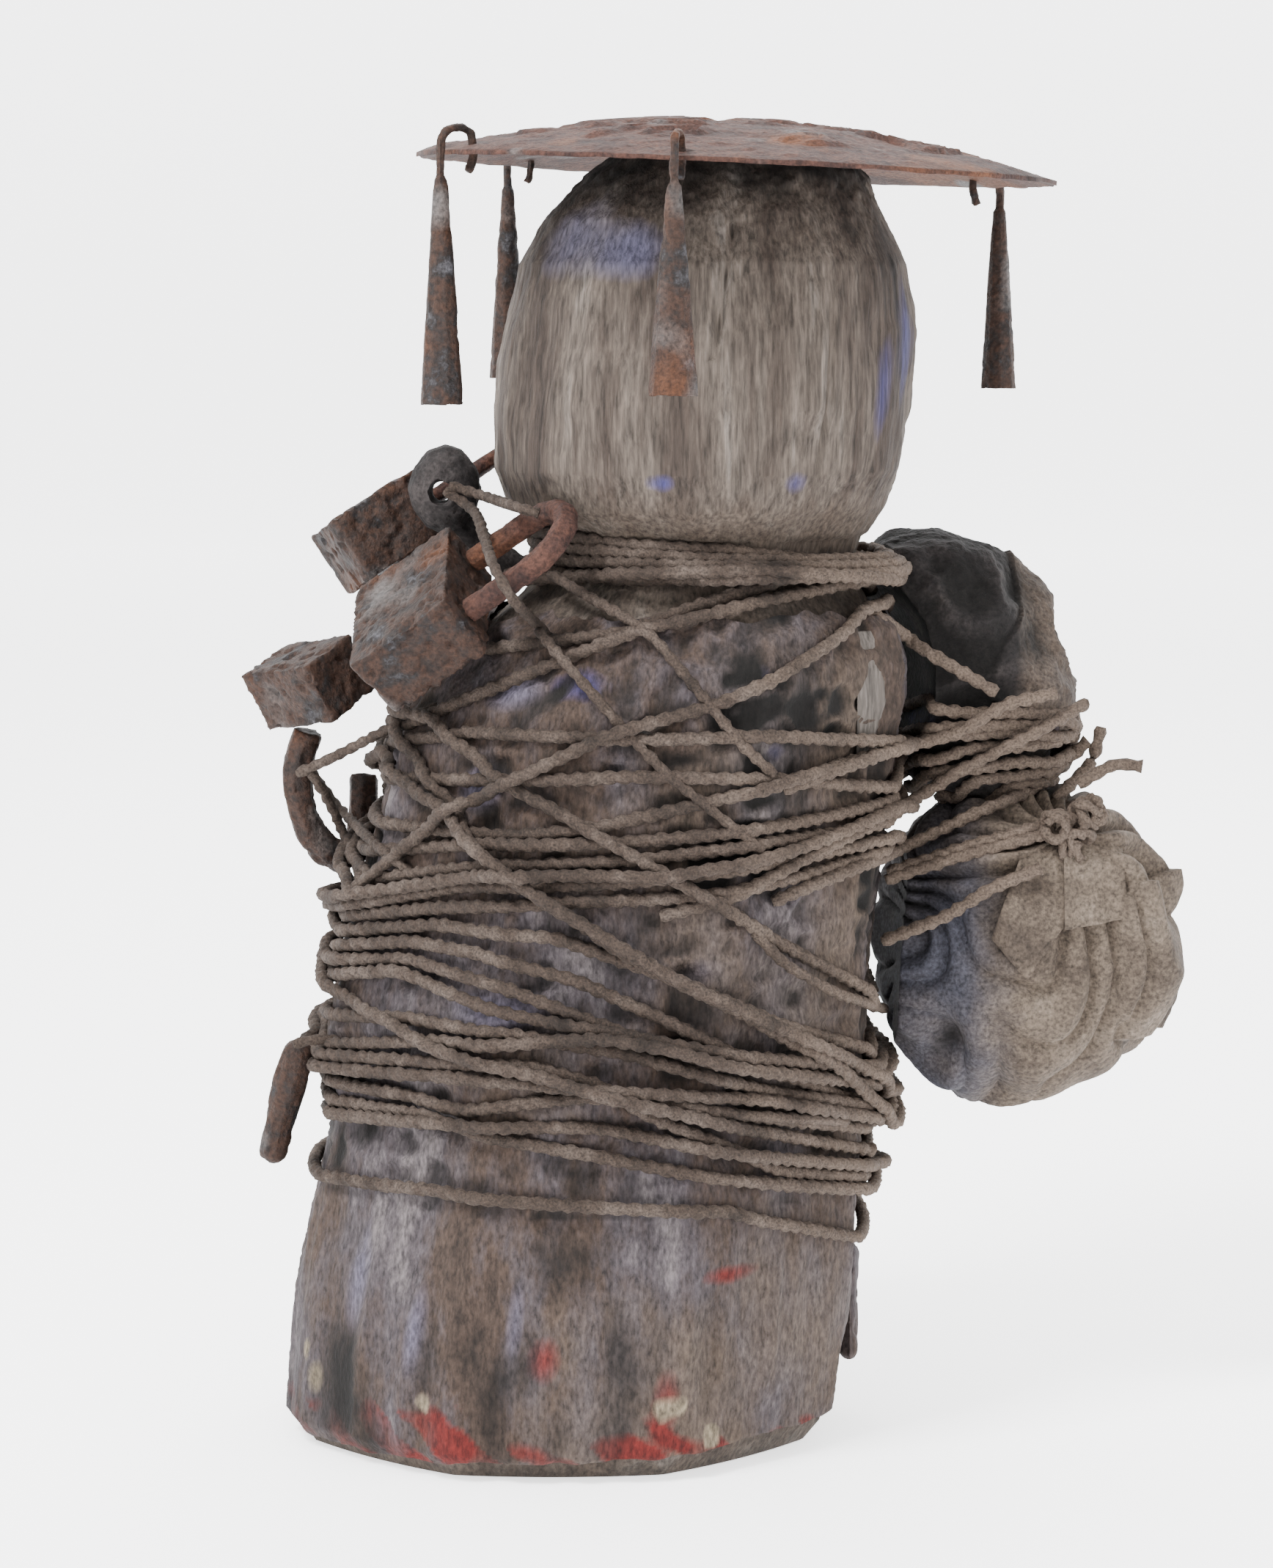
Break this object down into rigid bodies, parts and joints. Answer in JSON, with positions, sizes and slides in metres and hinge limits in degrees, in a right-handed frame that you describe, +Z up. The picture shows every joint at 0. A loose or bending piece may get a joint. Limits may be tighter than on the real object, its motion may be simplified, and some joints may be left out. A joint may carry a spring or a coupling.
{
  "type": "power figure",
  "caption": "Leaning carved figure wrapped in cloth and cord, with padlocks, bound packets, and a domed iron disc hung with rolled pendants.",
  "frame": {"origin": "middle of the flat underside of the wooden trunk", "axes": "+Z up along the figure, -Y towards the side that the picture shows"},
  "size_m": [0.259, 0.1891, 0.3586],
  "materials": {
    "wood": "dry, dusty, crusted",
    "cloth": "crusted cloth",
    "cord": "twisted fibre",
    "iron": "rusted",
    "rust": "flaking rust",
    "hide": "dry and dark",
    "packet_cloth": "dusty cloth",
    "pale_wood": "weathered"
  },
  "bodies": {
    "root": {"wooden_figure": "wood", "body_cloth": "cloth", "crown_disc": "rust", "pendant_front": "iron", "pendant_left": "iron", "pendant_back_left": "iron", "pendant_right": "iron", "pendant_back": "iron", "padlock_front_body": "iron", "padlock_front_shackle": "rust", "padlock_rear_body": "iron", "padlock_rear_shackle": "rust", "padlock_lower_body": "iron", "padlock_lower_shackle": "iron", "iron_hoop": "rust", "pierced_knob": "wood", "side_peg": "iron", "upper_packet": "hide", "outer_hide": "hide", "lower_packet": "packet_cloth", "shoulder_strip": "pale_wood", "lower_flap": "packet_cloth", "body_winding": "cord", "neck_winding": "cord", "low_cord": "cord", "packet_tie": "cord"}
  },
  "joints": []
}
